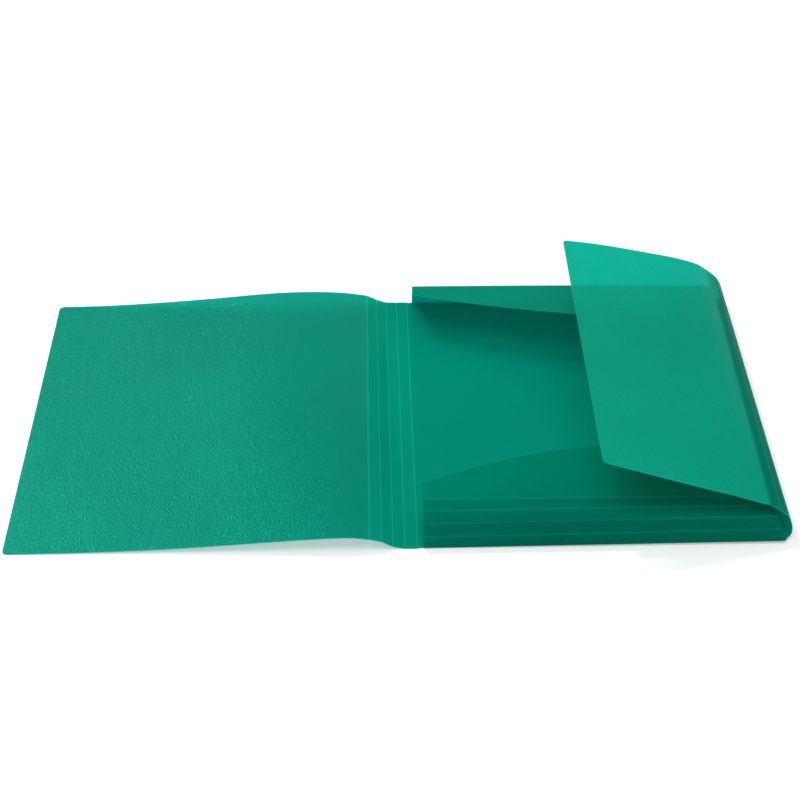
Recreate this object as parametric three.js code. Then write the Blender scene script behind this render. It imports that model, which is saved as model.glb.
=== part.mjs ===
// Three-flap document folder, cut and scored from one translucent polypropylene sheet,
// lying open. Millimetres, +Z up, +Y away from the reader, the spine to the left of the back cover.
// The origin is the centre of the back cover's underside. Each panel between two score lines
// is a mesh, and each score line is a fold group, turned by the angle that it is bent to.

import * as THREE from 'three';

// Sheet
const SHEET = 0.5;
const SCORE_WIDTH = 0.9;

// Covers
const FOLDER_LENGTH = 320;
const BACK_WIDTH = 244;
const FRONT_WIDTH = 240;
const BACK_CORNER = 5;
const FRONT_CORNER = 4;

// Spine, from the back cover to the front cover
const SPINE_PITCH = 8.2;
const SPINE_BENDS = [0, 0, 26, 0];

// Front cover, which arches off the spine and comes down to the table
const FRONT_START_SLOPE = 14;
const FRONT_ARCH_LENGTH = 31;

// Gussets and flaps, from the back cover's edge to the flap
const GUSSET_PITCH = 8.4;
const SIDE_BENDS = [77, 33, 22, 10];
const SIDE_FLAP_BEND = 22;
const SIDE_FLAP_WIDTH = 117;
const SIDE_FLAP_SETBACK = 10.5;
const SIDE_FLAP_CORNER = 4;
const END_BENDS = [102, 17, 19, 15];
const END_FLAP_BEND = 19;
const END_FLAP_DEPTH = 56;
const END_FLAP_SPINE_DEPTH = 16;
const END_FLAP_SPINE_SETBACK = 4;
const END_FLAP_SIDE_SETBACK = 12.5;
const END_FLAP_SWEEP = 125;
const END_FLAP_SWEEP_KNEE = [60, 44];
const END_FLAP_TAPER = 0.65;
const END_FLAP_CORNER = 12;

const FRONT_STATIONS = 26;
const CORNER_STEPS = 5;
const CURVE_STEPS = 10;

const sheetColours = {
  front: 0x0d8f7a,
  spine: 0x0c8d76,
  back: 0x08816b,
  gusset: 0x0b8a72,
  flap: 0x10967f,
};

function sheetMaterial(kind) {
  return new THREE.MeshStandardMaterial({
    color: sheetColours[kind],
    roughness: 0.42,
    metalness: 0,
    transparent: true,
    opacity: 0.86,
    side: THREE.DoubleSide,
  });
}

function addPanel(parent, name, geometry, kind) {
  const panel = new THREE.Mesh(geometry, sheetMaterial(kind));
  panel.name = name;
  parent.add(panel);
  return panel;
}

// An outline drawn in x and y, as a sheet centred on z = 0
function flatSheet(outline) {
  const options = { depth: SHEET, bevelEnabled: false, curveSegments: CURVE_STEPS };
  return new THREE.ExtrudeGeometry(outline, options).translate(0, 0, -SHEET / 2);
}

// A score line: a group at a distance along its parent panel, folded up by an angle in degrees
function addFold(parent, distance, bend) {
  const fold = new THREE.Group();
  fold.position.x = distance;
  fold.rotation.y = -THREE.MathUtils.degToRad(bend);
  parent.add(fold);
  return fold;
}

// A frame on one edge of the back cover, with x pointing away from the cover
function addEdge(parent, x, y, direction) {
  const edge = new THREE.Group();
  edge.position.set(x, y, SHEET / 2);
  edge.rotation.z = THREE.MathUtils.degToRad(direction);
  parent.add(edge);
  return edge;
}

// Straight strips between score lines, from y = low to y = high, each folded on the one before
function addStrips(edge, name, kind, pitch, bends, low, high) {
  let parent = edge;
  let distance = 0;
  bends.forEach((bend, index) => {
    const fold = addFold(parent, distance, bend);
    const strip = new THREE.BoxGeometry(pitch - SCORE_WIDTH, high - low, SHEET);
    strip.translate(pitch / 2, (low + high) / 2, 0);
    addPanel(fold, `${name}_${index + 1}`, strip, kind);
    parent = fold;
    distance = pitch;
  });
  return parent;
}

// A panel from a score line at x = 0 to a free edge with two rounded corners
function freePanel(width, low, high, corner) {
  const outline = new THREE.Shape();
  outline.moveTo(SCORE_WIDTH / 2, low);
  outline.lineTo(width - corner, low);
  outline.absarc(width - corner, low + corner, corner, -Math.PI / 2, 0, false);
  outline.lineTo(width, high - corner);
  outline.absarc(width - corner, high - corner, corner, 0, Math.PI / 2, false);
  outline.lineTo(SCORE_WIDTH / 2, high);
  return flatSheet(outline);
}

function addBackCover(folder) {
  const half = FOLDER_LENGTH / 2;
  const edgeLine = half - SCORE_WIDTH / 2;
  const cover = freePanel(BACK_WIDTH - SCORE_WIDTH / 2, -edgeLine, edgeLine, BACK_CORNER);
  cover.translate(-BACK_WIDTH / 2, 0, SHEET / 2);
  addPanel(folder, 'back_cover', cover, 'back');
}

// Height of the front cover's middle surface over its score line, at a distance from it
function frontHeight(distance, startHeight) {
  const fall = startHeight / FRONT_WIDTH;
  const arch = Math.tan(THREE.MathUtils.degToRad(FRONT_START_SLOPE)) + fall;
  return distance * (arch * Math.exp(-distance / FRONT_ARCH_LENGTH) - fall);
}

// Distances from the score line where the front cover is sampled, closer together near the spine
function frontDistances() {
  const start = SCORE_WIDTH / 2;
  const straight = FRONT_WIDTH - FRONT_CORNER - start;
  const distances = [];
  for (let i = 0; i <= FRONT_STATIONS; i++) {
    distances.push(start + straight * (i / FRONT_STATIONS) ** 1.6);
  }
  for (let i = 1; i <= CORNER_STEPS; i++) {
    const turn = (Math.PI / 2) * (i / CORNER_STEPS);
    distances.push(FRONT_WIDTH - FRONT_CORNER + FRONT_CORNER * Math.sin(turn));
  }
  return distances;
}

// Half of the front cover's length at a distance from the score line, less at its rounded corners
function frontHalfLength(distance) {
  const intoCorner = Math.max(0, distance - (FRONT_WIDTH - FRONT_CORNER));
  const reach = Math.sqrt(Math.max(0, FRONT_CORNER ** 2 - intoCorner ** 2));
  return FOLDER_LENGTH / 2 - FRONT_CORNER + reach;
}

// The four corners of the front cover's section at each distance, joined into a closed sheet
function archedSheet(startHeight) {
  const step = 0.01;
  const positions = [];
  const indices = [];
  const distances = frontDistances();
  distances.forEach((distance) => {
    const height = frontHeight(distance, startHeight);
    const slope = Math.atan2(frontHeight(distance + step, startHeight) - height, step);
    const across = (SHEET / 2) * -Math.sin(slope);
    const up = (SHEET / 2) * Math.cos(slope);
    const half = frontHalfLength(distance);
    positions.push(distance + across, -half, height + up, distance + across, half, height + up);
    positions.push(distance - across, half, height - up, distance - across, -half, height - up);
  });
  const last = 4 * (distances.length - 1);
  for (let here = 0; here < last; here += 4) {
    const next = here + 4;
    for (let k = 0; k < 4; k++) {
      const turn = (k + 1) % 4;
      indices.push(here + k, next + k, next + turn, here + k, next + turn, here + turn);
    }
  }
  indices.push(0, 1, 2, 0, 2, 3);
  indices.push(last, last + 2, last + 1, last, last + 3, last + 2);
  const geometry = new THREE.BufferGeometry();
  geometry.setAttribute('position', new THREE.Float32BufferAttribute(positions, 3));
  geometry.setIndex(indices);
  geometry.computeVertexNormals();
  return geometry;
}

// The front cover's frame is turned level again, so that its arch is measured from the table
function addSpineAndFrontCover(folder) {
  const half = FOLDER_LENGTH / 2;
  const edge = addEdge(folder, -BACK_WIDTH / 2, 0, 180);
  const lastStrip = addStrips(edge, 'spine_strip', 'spine', SPINE_PITCH, SPINE_BENDS, -half, half);
  let slope = 0;
  let startHeight = 0;
  SPINE_BENDS.forEach((bend) => {
    slope += bend;
    startHeight += SPINE_PITCH * Math.sin(THREE.MathUtils.degToRad(slope));
  });
  const level = addFold(lastStrip, SPINE_PITCH, -slope);
  addPanel(level, 'front_cover', archedSheet(startHeight), 'front');
}

function addSideFlap(folder) {
  const reach = FOLDER_LENGTH / 2 - SIDE_FLAP_SETBACK;
  const edge = addEdge(folder, BACK_WIDTH / 2, 0, 0);
  const gusset = addStrips(edge, 'side_gusset', 'gusset', GUSSET_PITCH, SIDE_BENDS, -reach, reach);
  const fold = addFold(gusset, GUSSET_PITCH, SIDE_FLAP_BEND);
  const flap = freePanel(SIDE_FLAP_WIDTH, -reach, reach, SIDE_FLAP_CORNER);
  addPanel(fold, 'side_flap', flap, 'flap');
}

// The end flap's outline: shallow at the spine, swept out to its full depth, tapered at the side.
// spineEnd and sideEnd are its two ends along the score line, and towardsSide is +1 or -1.
function endFlapOutline(spineEnd, sideEnd, towardsSide) {
  const [kneeAlong, kneeDepth] = END_FLAP_SWEEP_KNEE;
  const score = SCORE_WIDTH / 2;
  const alongTaper = new THREE.Vector2(-1, towardsSide * END_FLAP_TAPER).setLength(END_FLAP_CORNER);
  const tip = sideEnd - towardsSide * END_FLAP_TAPER * (END_FLAP_DEPTH - score);
  const outline = new THREE.Shape();
  outline.moveTo(score, spineEnd);
  outline.lineTo(END_FLAP_SPINE_DEPTH, spineEnd);
  outline.quadraticCurveTo(
    kneeDepth, spineEnd + towardsSide * kneeAlong,
    END_FLAP_DEPTH, spineEnd + towardsSide * END_FLAP_SWEEP,
  );
  outline.lineTo(END_FLAP_DEPTH, tip - towardsSide * END_FLAP_CORNER);
  outline.quadraticCurveTo(END_FLAP_DEPTH, tip, END_FLAP_DEPTH + alongTaper.x, tip + alongTaper.y);
  outline.lineTo(score, sideEnd);
  return outline;
}

// The top flap is at the far edge (direction +90 degrees) and the bottom flap at the near edge (-90)
function addEndFlap(folder, name, direction) {
  const towardsSide = -Math.sign(direction);
  const spineEnd = towardsSide * (END_FLAP_SPINE_SETBACK - BACK_WIDTH / 2);
  const sideEnd = towardsSide * (BACK_WIDTH / 2 - END_FLAP_SIDE_SETBACK);
  const low = Math.min(spineEnd, sideEnd);
  const high = Math.max(spineEnd, sideEnd);
  const edge = addEdge(folder, 0, (Math.sign(direction) * FOLDER_LENGTH) / 2, direction);
  const gusset = addStrips(edge, `${name}_gusset`, 'gusset', GUSSET_PITCH, END_BENDS, low, high);
  const fold = addFold(gusset, GUSSET_PITCH, END_FLAP_BEND);
  addPanel(fold, `${name}_flap`, flatSheet(endFlapOutline(spineEnd, sideEnd, towardsSide)), 'flap');
}

function buildFolder() {
  const folder = new THREE.Group();
  addBackCover(folder);
  addSpineAndFrontCover(folder);
  addSideFlap(folder);
  addEndFlap(folder, 'top', 90);
  addEndFlap(folder, 'bottom', -90);
  return folder;
}

export default buildFolder();
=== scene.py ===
"""Three-flap document folder of translucent frosted green sheet, lying open on a white table.

Every panel between two score lines is a thin closed sheet that follows the line the real sheet takes
at its far and its near end. Every score line is a thinner web between two panels. Inside the side
gusset it stays on the first of them and is tucked in under the next.
Lengths in this file are millimetres until a mesh is made, where they become metres.
"""

import math

import bpy
import numpy as np
from mathutils import Matrix, Vector


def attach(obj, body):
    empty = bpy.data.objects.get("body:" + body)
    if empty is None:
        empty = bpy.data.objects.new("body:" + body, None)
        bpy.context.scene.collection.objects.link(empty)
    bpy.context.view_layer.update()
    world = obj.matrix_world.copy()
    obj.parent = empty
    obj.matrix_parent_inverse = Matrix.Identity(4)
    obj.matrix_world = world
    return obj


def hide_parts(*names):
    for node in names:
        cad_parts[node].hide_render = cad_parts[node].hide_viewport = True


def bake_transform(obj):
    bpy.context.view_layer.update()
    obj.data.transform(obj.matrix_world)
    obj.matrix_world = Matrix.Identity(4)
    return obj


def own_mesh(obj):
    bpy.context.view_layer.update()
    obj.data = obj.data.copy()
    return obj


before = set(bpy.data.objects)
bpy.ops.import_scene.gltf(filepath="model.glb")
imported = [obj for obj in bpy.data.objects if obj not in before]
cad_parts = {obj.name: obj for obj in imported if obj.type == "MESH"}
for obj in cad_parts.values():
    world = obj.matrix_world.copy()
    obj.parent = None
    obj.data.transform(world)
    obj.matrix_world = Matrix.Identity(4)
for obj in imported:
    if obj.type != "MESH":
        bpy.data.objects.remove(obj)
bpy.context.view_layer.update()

MM = 0.001

# Sheet, its gap over the table, and half the width of the score lines
SHEET = 0.5
TABLE_GAP = 0.06
MIDDLE = SHEET / 2 + TABLE_GAP
WEB = 0.32
SCORE_HALF = 0.55
FLAP_SCORE_HALF = 0.8
COVER_SCORE_HALF = 0.9

# Covers. The near right corner of the back cover stands off the table.
HALF_LENGTH = 160
HALF_WIDTH = 122
COVER_CORNER = 4
BACK_CORNER = 5
NEAR_LIFT = 1.5

# Score lines divide the spine and each gusset into this many strips
STRIPS = 4

# Places of the far and the near end in the lines below
FAR = 1
NEAR = 2

# Spine: distance along the sheet, then the distance out and the height at the far and the near end
SPINE_LINE = [
    (0, (0, MIDDLE), (0, MIDDLE)),
    (8.2, (8.2, 0.34), (8.2, 0.42)),
    (16.4, (16.3, 0.6), (16.1, 2.1)),
    (24.6, (23.8, 3.3), (23.5, 6.1)),
    (32.8, (31.14, 7.0), (31.14, 8.0)),
]
SPINE_ROUNDNESS = 0.35

# Front cover: distance from the last score line, then the height at the far and the near end
COVER_LINE = [
    (0, 7.0, 8.0),
    (10, 8.6, 9.4),
    (22, 10.0, 9.6),
    (42, 10.9, 8.6),
    (64, 10.6, 7.2),
    (86, 9.2, 5.7),
    (110, 7.0, 4.0),
    (142, 4.4, 2.3),
    (174, 2.3, 1.3),
    (206, 0.8, 0.6),
    (240, 0.33, 0.33),
]

# Side gusset and flap: distance along the sheet, then the distance in from the edge and the height
SIDE_REACH = 149.5
SIDE_FOOT_REACH = 155.5
SIDE_LINE = [
    (0, (0, MIDDLE), (0, MIDDLE)),
    (3, (-0.9, 3.2), (-1.5, 3.4)),
    (8.4, (-1.65, 8.6), (-1.68, 9.2)),
    (16.8, (-0.1, 16.9), (0.8, 15.9)),
    (25.2, (4.0, 24.2), (6.2, 20.2)),
    (33.6, (10.4, 30.6), (12.8, 23.4)),
]
SIDE_ROUNDNESS = 0.7
FLAP_LINE = [
    (0, (10.4, 30.6), (12.8, 23.4)),
    (10, (19.2, 36.6), (21.3, 26.2)),
    (24, (31.8, 41.2), (33.4, 30.4)),
    (56, (63.0, 48.6), (63.6, 39.8)),
    (87, (94.0, 55.0), (94.0, 49.6)),
    (117, (124.6, 59.7), (124.4, 59.4)),
]
SIDE_FLAP_CORNER = 4

# How far the side gusset's score lines are tucked in, along the next panel and under it
TUCK = 0.6
TUCK_DROP = 0.45
FLAP_FAR_TUCK = 1.6
FLAP_NEAR_TUCK = 2.4
FLAP_TUCK_DROP = 1.0

# End gussets: bends in degrees in the CAD model, and at the right end of the far and the near gusset
GUSSET_PITCH = 8.4
SIDE_BENDS = [77, 33, 22, 10, 22]
END_BENDS = [102, 17, 19, 15, 19]
TOP_SIDE_BENDS = [109, 17, 19, 14, 13]
PRESSED_BENDS = [114, 24, 22, 14, 10]
END_ROUNDNESS = 0.5
END_GUSSET_SIDE_SETBACK = 3

# End flaps' outline
END_FLAP_DEPTH = 56
END_FLAP_SPINE_DEPTH = 16
END_FLAP_SIDE_DEPTH = 1.2
END_FLAP_SPINE_SETBACK = 4
END_FLAP_SIDE_SETBACK = 12.5
END_FLAP_SWEEP = 125
END_FLAP_SWEEP_KNEE = (60, 44)
END_FLAP_TAPER = 0.65
END_FLAP_CORNER = 12

# Steps of the meshes
STRIP_STEPS = 6
COVER_STEPS = 90
BACK_STEPS = 48
SIDE_FLAP_STEPS = 60
END_FLAP_STEPS = 24
SWEEP_STEPS = 24
LEVEL_STEPS = 8
FLAP_CORNER_STEPS = 10
TAPER_STEPS = 12
CORNER_STEPS = 6
LENGTHWAYS = np.linspace(0, 1, 41)
SHARP_DEGREES = 35

# Camera, fitted to the corners and score lines of the folder. It sees as far as CAMERA_SIGHT in metres.
CAMERA_PLACE = (-151.36, -1232.37, 807.83)
CAMERA_PITCH = 0.5729
CAMERA_YAW = 0.0171
CAMERA_ROLL = -0.0048
CAMERA_LENS = 92.25
SENSOR = 36
CAMERA_SIGHT = 50

# Film: shares of the light, colours, and the grain and mottle of its surface
CLEAR_SHARE = 0.33
GLOW_SHARE = 0.25
METAL_SHARE = 0.1
CLEAR_TINT = (0.05, 0.92, 0.83)
BODY_COLOUR = (0.0, 0.425, 0.278)
GLOW_COLOUR = (0.02, 0.560, 0.570)
SHEEN_TINT = (0.0, 1.0, 0.95, 1)
GLOSS = 0.01
ROUGHNESS = 0.22
GRAIN_SCALE = 700
GRAIN_HEIGHT = 0.0004
MOTTLE_SCALE = 9
MOTTLE = 0.06
MOTTLE_RANGE = (0.3, 0.7)

# Painted light and shade: each panel's copy of the film is painted lighter or darker to show how it is lit
FILM_LOOKS = {
    "front_film": {"paleness_and_painted_light": 0.77, "gloss": 0.035, "roughness": 0.18},
    "spine_film": {"paleness_and_painted_light": 0.85},
    "back_film": {"paleness_and_painted_light": 0.8},
    "gusset_film": {"paleness_and_painted_light": 0.67, "gloss": 0.004},
    "top_flap_film": {"paleness_and_painted_light": 0.96, "clear": 0.44, "gloss": 0.004},
    "bottom_flap_film": {"paleness_and_painted_light": 0.8, "clear": 0.4, "gloss": 0.004},
    "side_flap_film": {"paleness_and_painted_light": 1.18, "gloss": 0.02},
    # Cut edges: a painted glow, brighter than the sheet, as if light shone out of the cut
    "cut_edge": {"paleness_and_painted_light": 1.9, "clear": 0.2},
    # Score lines: paler where the web is thinner, and lighter or darker with their panel's painted shade
    "score_line": {"paleness_and_painted_light": 1.16, "clear": 0.4},
    "gusset_score_line": {"paleness_and_painted_light": 0.92, "clear": 0.36, "gloss": 0.004},
}

# Stage, in metres
TABLE_COLOUR = (0.9, 0.9, 0.9, 1)
TABLE_LIFT = 0.37
TABLE_REACH = 6
WORLD_LEVEL = 0.37
LAMP_TARGET = (-0.13, 0, 0.01)
LAMP_DISTANCE = 2.6

# Lamps: azimuth and elevation in degrees, size in metres and power in watts.
# Azimuth 0 is beyond the folder (+Y) and 90 is to its left (-X).
LAMPS = {
    "key": (28, 53, 0.3, 15),
    "sheen": (28, 36, 0.35, 16),
    "overhead": (180, 78, 2.0, 17),
    "side_fill": (-60, 50, 2.0, 4),
}


def make_camera():
    """The camera looks along +Y, turned right by the yaw, down by the pitch and tilted by the roll."""
    forward = Vector((
        math.sin(CAMERA_YAW) * math.cos(CAMERA_PITCH),
        math.cos(CAMERA_YAW) * math.cos(CAMERA_PITCH),
        -math.sin(CAMERA_PITCH),
    ))
    level = Vector((math.cos(CAMERA_YAW), -math.sin(CAMERA_YAW), 0))
    square = level.cross(forward)
    right = level * math.cos(CAMERA_ROLL) + square * math.sin(CAMERA_ROLL)
    up = square * math.cos(CAMERA_ROLL) - level * math.sin(CAMERA_ROLL)
    data = bpy.data.cameras.new("camera")
    data.lens = CAMERA_LENS
    data.sensor_width = SENSOR
    data.clip_end = CAMERA_SIGHT
    camera = bpy.data.objects.new("camera", data)
    camera.matrix_world = Matrix.Translation(Vector(CAMERA_PLACE) * MM) @ Matrix(
        (right, up, -forward)
    ).transposed().to_4x4()
    bpy.context.scene.collection.objects.link(camera)
    bpy.context.scene.camera = camera


# Materials

def new_material(name):
    material = bpy.data.materials.new(name)
    material.use_nodes = True
    nodes = material.node_tree.nodes
    nodes.clear()
    return material, nodes, material.node_tree.links


def noise(nodes, links, vector, scale, detail):
    node = nodes.new("ShaderNodeTexNoise")
    node.inputs["Scale"].default_value = scale
    node.inputs["Detail"].default_value = detail
    links.new(vector, node.inputs["Vector"])
    return node.outputs["Fac"]


def ramp(nodes, links, factor, low, high):
    node = nodes.new("ShaderNodeValToRGB")
    first, last = node.color_ramp.elements
    first.position, last.position = MOTTLE_RANGE
    first.color, last.color = (*low, 1), (*high, 1)
    links.new(factor, node.inputs["Fac"])
    return node.outputs["Color"]


def mixed(nodes, links, first, second, share):
    """The first shader with a share of the second."""
    node = nodes.new("ShaderNodeMixShader")
    node.inputs["Fac"].default_value = share
    links.new(first, node.inputs[1])
    links.new(second, node.inputs[2])
    return node.outputs["Shader"]


def scaled(colour, factor):
    return tuple(channel * factor for channel in colour)


def film(name, paleness_and_painted_light=1.0, clear=CLEAR_SHARE, gloss=GLOSS, roughness=ROUGHNESS):
    """Frosted sheet: part of the light passes clear, part is spread behind it and part is thrown back."""
    material, nodes, links = new_material(name)
    place = nodes.new("ShaderNodeTexCoord").outputs["Object"]
    grain = noise(nodes, links, place, GRAIN_SCALE, detail=1)
    mottle = noise(nodes, links, place, MOTTLE_SCALE, detail=2)

    bump = nodes.new("ShaderNodeBump")
    bump.inputs["Strength"].default_value = 1.0
    bump.inputs["Distance"].default_value = GRAIN_HEIGHT
    links.new(grain, bump.inputs["Height"])

    # Painted light and shade: the body and glow colours are made lighter or darker for each panel
    body = scaled(BODY_COLOUR, paleness_and_painted_light)
    colour = ramp(nodes, links, mottle, scaled(body, 1 - MOTTLE), scaled(body, 1 + MOTTLE))
    front = nodes.new("ShaderNodeBsdfPrincipled")
    front.inputs["Roughness"].default_value = roughness
    front.inputs["Metallic"].default_value = METAL_SHARE
    front.inputs["Specular IOR Level"].default_value = gloss
    front.inputs["Specular Tint"].default_value = SHEEN_TINT
    links.new(colour, front.inputs["Base Color"])
    links.new(bump.outputs["Normal"], front.inputs["Normal"])

    glow = nodes.new("ShaderNodeBsdfTranslucent")
    glow.inputs["Color"].default_value = (*scaled(GLOW_COLOUR, paleness_and_painted_light), 1)
    links.new(bump.outputs["Normal"], glow.inputs["Normal"])

    passing = nodes.new("ShaderNodeBsdfTransparent")
    passing.inputs["Color"].default_value = (*CLEAR_TINT, 1)

    frosted = mixed(nodes, links, front.outputs["BSDF"], glow.outputs["BSDF"], GLOW_SHARE)
    output = nodes.new("ShaderNodeOutputMaterial")
    links.new(mixed(nodes, links, frosted, passing.outputs["BSDF"], clear), output.inputs["Surface"])
    return material


def background_rays(nodes, links):
    """1 for the rays that show the background: those of the camera, off gloss and through the film."""
    path = nodes.new("ShaderNodeLightPath")
    share = path.outputs["Is Camera Ray"]
    for kind in ("Is Glossy Ray", "Is Transmission Ray"):
        either = nodes.new("ShaderNodeMath")
        either.operation = "MAXIMUM"
        links.new(share, either.inputs[0])
        links.new(path.outputs[kind], either.inputs[1])
        share = either.outputs["Value"]
    return share


def floor_material():
    """White table top, a little lighter where it is seen, so that it looks white and keeps its shadows."""
    material, nodes, links = new_material("table_white")
    matt = nodes.new("ShaderNodeBsdfDiffuse")
    matt.inputs["Color"].default_value = TABLE_COLOUR
    lift = nodes.new("ShaderNodeMath")
    lift.operation = "MULTIPLY"
    lift.inputs[1].default_value = TABLE_LIFT
    links.new(background_rays(nodes, links), lift.inputs[0])
    light = nodes.new("ShaderNodeEmission")
    links.new(lift.outputs["Value"], light.inputs["Strength"])
    whole = nodes.new("ShaderNodeAddShader")
    links.new(matt.outputs["BSDF"], whole.inputs[0])
    links.new(light.outputs["Emission"], whole.inputs[1])
    output = nodes.new("ShaderNodeOutputMaterial")
    links.new(whole.outputs["Shader"], output.inputs["Surface"])
    return material


# Lines and surfaces

def spaced(start, end, count):
    return np.linspace(start, end, count + 1)


def knots(line, end):
    """A line's distances, and its values at the far or the near end."""
    return [knot[0] for knot in line], [knot[end] for knot in line]


def follow(reach, points, distances, roundness=1.0):
    """Points at some distances along a line through knots: straight chords, or smooth where rounded."""
    reach = np.array(reach, float)
    points = np.array(points, float).reshape(len(reach), -1)
    slopes = np.gradient(points, reach, axis=0)
    knot = np.clip(np.searchsorted(reach, distances, side="right") - 1, 0, len(reach) - 2)
    span = (reach[knot + 1] - reach[knot])[:, None]
    t = (distances - reach[knot])[:, None] / span
    start, end = points[knot], points[knot + 1]
    straight = start + (end - start) * t
    curved = (
        start * (2 * t**3 - 3 * t**2 + 1)
        + end * (3 * t**2 - 2 * t**3)
        + slopes[knot] * span * (t**3 - 2 * t**2 + t)
        + slopes[knot + 1] * span * (t**3 - t**2)
    )
    return straight + (curved - straight) * roundness


def bow(start, knee, end, t):
    """A quadratic curve from start to end, drawn towards the knee."""
    return (1 - t)**2 * start + 2 * t * (1 - t) * knee + t**2 * end


def near_lift(x, y):
    """How far the back cover stands off the table."""
    return NEAR_LIFT * (x + HALF_WIDTH) / (2 * HALF_WIDTH) * (HALF_LENGTH - y) / (2 * HALF_LENGTH)


def back_surface(x, y):
    return np.stack([x, y, MIDDLE + near_lift(x, y)], axis=-1)


def at_end(end, x, half_length, height):
    """Points at the far or the near end of a panel."""
    y = half_length if end == FAR else -half_length
    return np.stack([x, np.broadcast_to(y, x.shape), height], axis=1)


def spine_points(distances, end):
    points = follow(*knots(SPINE_LINE, end), distances, SPINE_ROUNDNESS)
    return at_end(end, -HALF_WIDTH - points[:, 0], HALF_LENGTH, points[:, 1])


def cover_points(distances, end):
    heights = follow(*knots(COVER_LINE, end), distances)[:, 0]
    spine_width = SPINE_LINE[-1][FAR][0]
    return at_end(end, -HALF_WIDTH - spine_width - distances, HALF_LENGTH, heights)


def side_half_length(distances):
    """The side gusset is longest at the back cover and narrows to the flap's length."""
    return SIDE_FOOT_REACH + (SIDE_REACH - SIDE_FOOT_REACH) * distances / SIDE_LINE[-1][0]


def side_points(distances, end):
    points = follow(*knots(SIDE_LINE, end), distances, SIDE_ROUNDNESS)
    half_length = side_half_length(distances)
    lift = near_lift(HALF_WIDTH, half_length if end == FAR else -half_length)
    fading = 1 - np.clip(distances / GUSSET_PITCH, 0, 1)
    return at_end(end, HALF_WIDTH - points[:, 0], half_length, points[:, 1] + lift * fading)


def flap_points(distances, end):
    points = follow(*knots(FLAP_LINE, end), distances)
    return at_end(end, HALF_WIDTH - points[:, 0], SIDE_REACH, points[:, 1])


def panel_grid(points_at, distances, shares=LENGTHWAYS):
    """Rows of points on straight lines from a panel's far end to its near end, at shares from 0 to 1."""
    far, near = points_at(distances, FAR), points_at(distances, NEAR)
    return far[:, None, :] + (near - far)[:, None, :] * shares[..., None]


def corner_stations(start, end, corner, count):
    """Distances up to a free edge, closer together round the corner there."""
    turns = np.sin(spaced(0, math.pi / 2, CORNER_STEPS))[1:]
    return np.concatenate([spaced(start, end - corner, count), end - corner + corner * turns])


def corner_shares(distances, end, corner, length):
    """Shares of the length at each station, drawn in where the free corners are rounded."""
    into = np.clip(distances - (end - corner), 0, corner)
    low = (corner - np.sqrt(corner**2 - into**2)) / length
    return low[:, None] + (1 - 2 * low)[:, None] * LENGTHWAYS[None, :]


# Sheets

def film_object(name, middle, thickness, material, edge=None):
    """A closed sheet round a grid of points on its middle surface. Its cut edges may take a painted glow."""
    normal = np.cross(np.gradient(middle, axis=0), np.gradient(middle, axis=1))
    normal /= np.linalg.norm(normal, axis=2, keepdims=True)
    upper = middle + normal * thickness / 2
    lower = middle - normal * thickness / 2
    points = np.concatenate([upper.reshape(-1, 3), lower.reshape(-1, 3)]) * MM
    rows, columns = middle.shape[:2]
    size = rows * columns
    index = np.arange(size).reshape(rows, columns)
    faces = []
    for i in range(rows - 1):
        for j in range(columns - 1):
            quad = (index[i, j], index[i + 1, j], index[i + 1, j + 1], index[i, j + 1])
            faces.append(quad)
            faces.append(tuple(size + corner for corner in reversed(quad)))
    faces_inside = len(faces)
    border = [*index[0, :-1], *index[:-1, -1], *index[-1, :0:-1], *index[:0:-1, 0]]
    for here, there in zip(border, border[1:] + border[:1]):
        faces.append((here, there, size + there, size + here))
    mesh = bpy.data.meshes.new(name)
    mesh.from_pydata(points.tolist(), [], [[int(corner) for corner in face] for face in faces])
    mesh.polygons.foreach_set("use_smooth", [True] * len(mesh.polygons))
    mesh.set_sharp_from_angle(angle=math.radians(SHARP_DEGREES))
    mesh.materials.append(material)
    if edge:
        mesh.materials.append(edge)
        cut = [0] * faces_inside + [1] * (len(faces) - faces_inside)
        mesh.polygons.foreach_set("material_index", cut)
    mesh.update()
    piece = bpy.data.objects.new(name, mesh)
    bpy.context.scene.collection.objects.link(piece)
    return piece


def add_panel(films, node, slot, middle, look=None):
    """A panel in its slot's film, or in another copy of it, painted lighter or darker for how it is lit."""
    piece = film_object(f"{node}_film", middle, SHEET, films[look or slot], films["cut_edge"])
    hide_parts(node)
    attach(piece, node)
    return piece


def add_web(name, edge_rows, material):
    """A score line's web between the edge rows of two panels."""
    before, after = edge_rows
    piece = film_object(name, np.stack([before, (before + after) / 2, after]), WEB, material)
    line = (before[-1] + after[-1]) / 2 - (before[0] + after[0]) / 2
    line /= np.linalg.norm(line)
    step = np.mean(after - before, axis=0)
    step -= line * np.dot(step, line)
    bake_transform(piece)


def flatten(piece, point, slope):
    """Gives a sprung panel a mesh of its own. The point and the slope are not used."""
    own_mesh(piece)


def add_side_web(name, node, before, panel, material, plane, tuck, drop):
    """A score line of the side gusset, from the edge row of one panel to a row under the next."""
    step = panel[1] - panel[0]
    normal = np.cross(step, panel[0][-1] - panel[0][0])
    normal /= np.linalg.norm(normal, axis=1, keepdims=True)
    step /= np.linalg.norm(step, axis=1, keepdims=True)
    under = panel[0] + step * np.reshape(tuck, (-1, 1)) - normal * drop
    middle = np.stack([before, (before + panel[0]) / 2, panel[0], under])
    piece = film_object(name, middle, WEB, material)
    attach(piece, node)
    (x, z), slope = plane
    flatten(piece, (x - math.sin(slope) * SHEET, z + math.cos(slope) * SHEET), slope)


# Pieces

def strip_nodes(name):
    """The nodes of the strips of the spine or of a gusset, outwards from the back cover."""
    return [f"{name}_{k}" for k in range(1, STRIPS + 1)]


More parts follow.
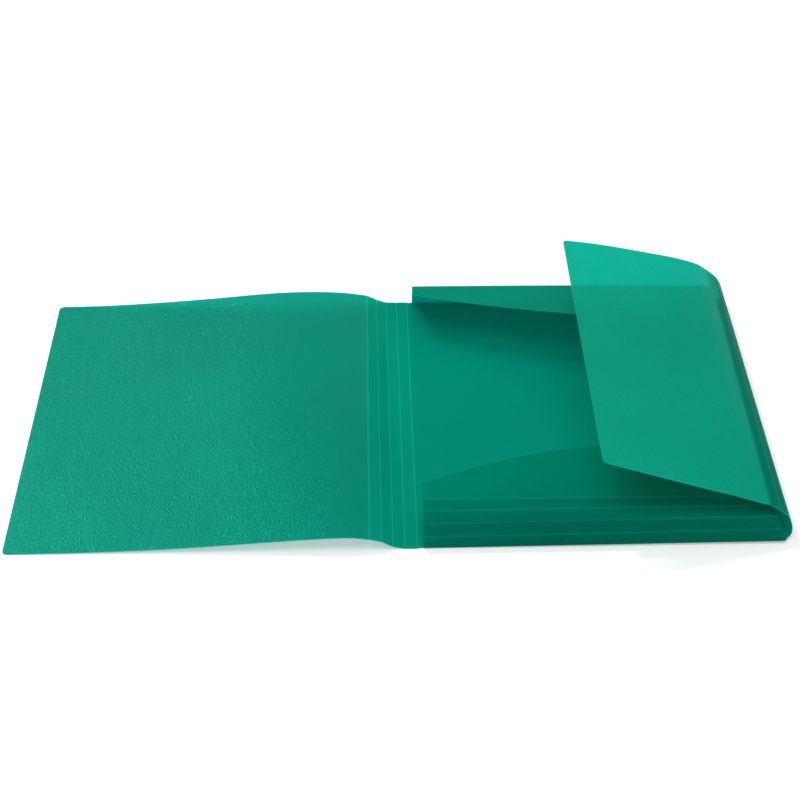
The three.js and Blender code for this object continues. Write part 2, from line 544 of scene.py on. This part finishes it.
def make_back_cover(films):
    left = -HALF_WIDTH + SCORE_HALF
    right = HALF_WIDTH - SCORE_HALF
    half = HALF_LENGTH - SCORE_HALF
    x = corner_stations(left, right, BACK_CORNER, BACK_STEPS)
    y = half * (1 - 2 * corner_shares(x, right, BACK_CORNER, 2 * half))
    cover = add_panel(films, "back_cover", "back_film", back_surface(np.broadcast_to(x[:, None], y.shape), y))
    flatten(cover, (0, MIDDLE), 0)


def make_spine_and_cover(films):
    chain = ["back_cover", *strip_nodes("spine_strip"), "front_cover"]
    pitch = SPINE_LINE[1][0]
    panels = []
    for k in range(STRIPS):
        distances = spaced(k * pitch + SCORE_HALF, (k + 1) * pitch - SCORE_HALF, STRIP_STEPS)
        panels.append(panel_grid(spine_points, distances))
        add_panel(films, chain[k + 1], "spine_film", panels[-1])
    width = COVER_LINE[-1][0]
    distances = corner_stations(COVER_SCORE_HALF, width, COVER_CORNER, COVER_STEPS)
    shares = corner_shares(distances, width, COVER_CORNER, 2 * HALF_LENGTH)
    panels.append(panel_grid(cover_points, distances, shares))
    add_panel(films, "front_cover", "front_film", panels[-1])
    y = HALF_LENGTH * (1 - 2 * LENGTHWAYS)
    first_edge = np.stack([np.full(len(y), -HALF_WIDTH + SCORE_HALF), y, np.full(len(y), MIDDLE)], axis=1)
    edges = [first_edge, *(panel[-1] for panel in panels[:-1])]
    for k in range(STRIPS + 1):
        add_web(f"spine_score_{k + 1}_web",
                (edges[k], panels[k][0]), films["score_line"])


def side_planes():
    """The plane of each side gusset panel and of the side flap when they aren't sprung."""
    planes = []
    out, height, slope = HALF_WIDTH, SHEET / 2, 0
    for bend in SIDE_BENDS:
        slope += math.radians(bend)
        planes.append(((out, height), slope))
        out += GUSSET_PITCH * math.cos(slope)
        height += GUSSET_PITCH * math.sin(slope)
    return planes


def gusset_stations(k):
    """Distances across one of a gusset's strips. The flap's score line is wider than the others."""
    last_half = FLAP_SCORE_HALF if k == STRIPS - 1 else SCORE_HALF
    return spaced(k * GUSSET_PITCH + SCORE_HALF, (k + 1) * GUSSET_PITCH - last_half, STRIP_STEPS)


def make_side(films):
    chain = ["back_cover", *strip_nodes("side_gusset"), "side_flap"]
    planes = side_planes()
    panels = []
    for k in range(STRIPS):
        panels.append(panel_grid(side_points, gusset_stations(k)))
        flatten(add_panel(films, chain[k + 1], "gusset_film", panels[-1]), *planes[k])
    width = FLAP_LINE[-1][0]
    distances = corner_stations(FLAP_SCORE_HALF, width, SIDE_FLAP_CORNER, SIDE_FLAP_STEPS)
    shares = corner_shares(distances, width, SIDE_FLAP_CORNER, 2 * SIDE_REACH)
    panels.append(panel_grid(flap_points, distances, shares))
    # The side flap's copy of the film is painted lighter, as painted light
    flatten(add_panel(films, "side_flap", "flap_film", panels[-1], "side_flap_film"), *planes[-1])
    scores = films["gusset_score_line"]
    y = SIDE_FOOT_REACH * (1 - 2 * LENGTHWAYS)
    first_edge = back_surface(np.full(len(y), HALF_WIDTH - SCORE_HALF), y)
    add_web("side_gusset_fold_web", (first_edge, panels[0][0]), scores)
    for k in range(1, STRIPS):
        add_side_web(f"side_gusset_score_{k}_web", chain[k], panels[k - 1][-1], panels[k],
                     scores, planes[k - 1], TUCK, TUCK_DROP)
    flap_tuck = FLAP_FAR_TUCK + (FLAP_NEAR_TUCK - FLAP_FAR_TUCK) * LENGTHWAYS
    add_side_web("side_flap_fold_web", chain[-2], panels[-2][-1], panels[-1],
                 scores, planes[-2], flap_tuck, FLAP_TUCK_DROP)


def end_section(bends):
    """An end gusset's section: distance in and height at each score line, and the flap's slope."""
    points = [(0.0, MIDDLE)]
    angle = 0
    for bend in bends[:-1]:
        angle += math.radians(bend)
        inwards, height = points[-1]
        points.append((inwards - GUSSET_PITCH * math.cos(angle), height + GUSSET_PITCH * math.sin(angle)))
    angle += math.radians(bends[-1])
    return points, (-math.cos(angle), math.sin(angle))


def end_surface(x, inwards, height, sign):
    """Points of an end gusset or flap. The near one stands on the lifted edge of the back cover."""
    y = sign * (HALF_LENGTH - inwards)
    return np.stack([x, y, height + near_lift(x, sign * HALF_LENGTH)], axis=-1)


def end_flap_outline():
    """The end flap's outline: distances along the score line from its spine end, and the depth there."""
    start = -HALF_WIDTH + END_FLAP_SPINE_SETBACK
    finish = HALF_WIDTH - END_FLAP_SIDE_SETBACK
    knee_along, knee_depth = END_FLAP_SWEEP_KNEE
    t = spaced(0, 1, SWEEP_STEPS)
    sweep_x = start + bow(0, knee_along, END_FLAP_SWEEP, t)
    sweep_depth = bow(END_FLAP_SPINE_DEPTH, knee_depth, END_FLAP_DEPTH, t)
    tip = finish - END_FLAP_TAPER * (END_FLAP_DEPTH - SCORE_HALF)
    level_x = spaced(sweep_x[-1], tip - END_FLAP_CORNER, LEVEL_STEPS)[1:]
    level_depth = np.full(len(level_x), END_FLAP_DEPTH)
    slant = END_FLAP_CORNER / math.hypot(1, END_FLAP_TAPER)
    t = spaced(0, 1, FLAP_CORNER_STEPS)[1:]
    corner_x = bow(tip - END_FLAP_CORNER, tip, tip + END_FLAP_TAPER * slant, t)
    corner_depth = bow(END_FLAP_DEPTH, END_FLAP_DEPTH, END_FLAP_DEPTH - slant, t)
    taper_x = spaced(corner_x[-1], finish, TAPER_STEPS)[1:]
    taper_depth = spaced(corner_depth[-1], END_FLAP_SIDE_DEPTH, TAPER_STEPS)[1:]
    x = np.concatenate([sweep_x, level_x, corner_x, taper_x])
    return x, np.concatenate([sweep_depth, level_depth, corner_depth, taper_depth])


def make_end(films, name, sign, side_bends):
    """An end gusset and flap, whose section changes from the spine end to the side end."""
    chain = ["back_cover", *strip_nodes(f"{name}_gusset"), f"{name}_flap"]
    spine_section, spine_slope = end_section(END_BENDS)
    side_section, side_slope = end_section(side_bends)
    reach = [GUSSET_PITCH * k for k in range(STRIPS + 1)]
    start = -HALF_WIDTH + END_FLAP_SPINE_SETBACK
    low_end = HALF_WIDTH - END_GUSSET_SIDE_SETBACK
    high_end = HALF_WIDTH - END_FLAP_SIDE_SETBACK
    flap_x, flap_depth = end_flap_outline()
    shares = (flap_x - flap_x[0]) / (flap_x[-1] - flap_x[0])
    turned = shares**2

    panels = []
    for k in range(STRIPS):
        distances = gusset_stations(k)
        spine_line = follow(reach, spine_section, distances, END_ROUNDNESS)
        side_line = follow(reach, side_section, distances, END_ROUNDNESS)
        finish = low_end + (high_end - low_end) * distances / reach[-1]
        x = start + (finish - start)[:, None] * shares[None, :]
        line = spine_line[:, None, :] + (side_line - spine_line)[:, None, :] * turned[None, :, None]
        panels.append(end_surface(x, line[..., 0], line[..., 1], sign))
        add_panel(films, chain[k + 1], "gusset_film", panels[-1])

    across = spaced(0, 1, END_FLAP_STEPS)[:, None]
    depth = FLAP_SCORE_HALF + (flap_depth - FLAP_SCORE_HALF)[None, :] * across
    fold = np.outer(1 - turned, spine_section[-1]) + np.outer(turned, side_section[-1])
    slope = np.outer(1 - turned, spine_slope) + np.outer(turned, side_slope)
    inwards = fold[None, :, 0] + depth * slope[None, :, 0]
    height = fold[None, :, 1] + depth * slope[None, :, 1]
    panels.append(end_surface(np.broadcast_to(flap_x, depth.shape), inwards, height, sign))
    # Each end flap's copy of the film is painted lighter or darker, as painted light and shade
    add_panel(films, chain[-1], "flap_film", panels[-1], f"{name}_flap_film")

    x = start + (low_end - start) * shares
    first_edge = back_surface(x, np.full(len(x), sign * (HALF_LENGTH - SCORE_HALF)))
    edges = [first_edge, *(panel[-1] for panel in panels[:-1])]
    names = [
        f"{name}_gusset_fold",
        *(f"{name}_gusset_score_{k}" for k in range(1, STRIPS)),
        f"{name}_flap_fold",
    ]
    for k in range(STRIPS + 1):
        add_web(f"{names[k]}_web",
                (edges[k], panels[k][0]), films["gusset_score_line"])


# Stage and light

def make_floor():
    mesh = bpy.data.meshes.new("table")
    corners = [(x * TABLE_REACH, y * TABLE_REACH, 0) for x, y in ((-1, -1), (1, -1), (1, 1), (-1, 1))]
    mesh.from_pydata(corners, [], [(0, 1, 2, 3)])
    mesh.materials.append(floor_material())
    floor = bpy.data.objects.new("table", mesh)
    bpy.context.scene.collection.objects.link(floor)


def make_world():
    world = bpy.data.worlds.new("studio")
    world.use_nodes = True
    nodes, links = world.node_tree.nodes, world.node_tree.links
    nodes.clear()
    background = nodes.new("ShaderNodeBackground")
    background.inputs["Color"].default_value = (1, 1, 1, 1)
    level = nodes.new("ShaderNodeMapRange")
    level.inputs["To Min"].default_value = WORLD_LEVEL
    level.inputs["To Max"].default_value = 1
    links.new(background_rays(nodes, links), level.inputs["Value"])
    links.new(level.outputs["Result"], background.inputs["Strength"])
    output = nodes.new("ShaderNodeOutputWorld")
    links.new(background.outputs["Background"], output.inputs["Surface"])
    bpy.context.scene.world = world


def add_lamp(name, azimuth, elevation, size, power):
    """A round lamp aimed at the folder."""
    azimuth, elevation = math.radians(azimuth), math.radians(elevation)
    away = Vector((
        -math.sin(azimuth) * math.cos(elevation),
        math.cos(azimuth) * math.cos(elevation),
        math.sin(elevation),
    ))
    data = bpy.data.lights.new(name, "AREA")
    data.shape = "DISK"
    data.size = size
    data.energy = power
    lamp = bpy.data.objects.new(name, data)
    turn = away.to_track_quat("Z", "Y").to_matrix().to_4x4()
    lamp.matrix_world = Matrix.Translation(Vector(LAMP_TARGET) + away * LAMP_DISTANCE) @ turn
    bpy.context.scene.collection.objects.link(lamp)


make_camera()
films = {name: film(name, **look) for name, look in FILM_LOOKS.items()}
make_back_cover(films)
make_spine_and_cover(films)
make_side(films)
make_end(films, "top", 1, TOP_SIDE_BENDS)
make_end(films, "bottom", -1, PRESSED_BENDS)
make_floor()
make_world()
for name, lamp in LAMPS.items():
    add_lamp(name, *lamp)
bpy.context.scene.view_settings.view_transform = "Standard"
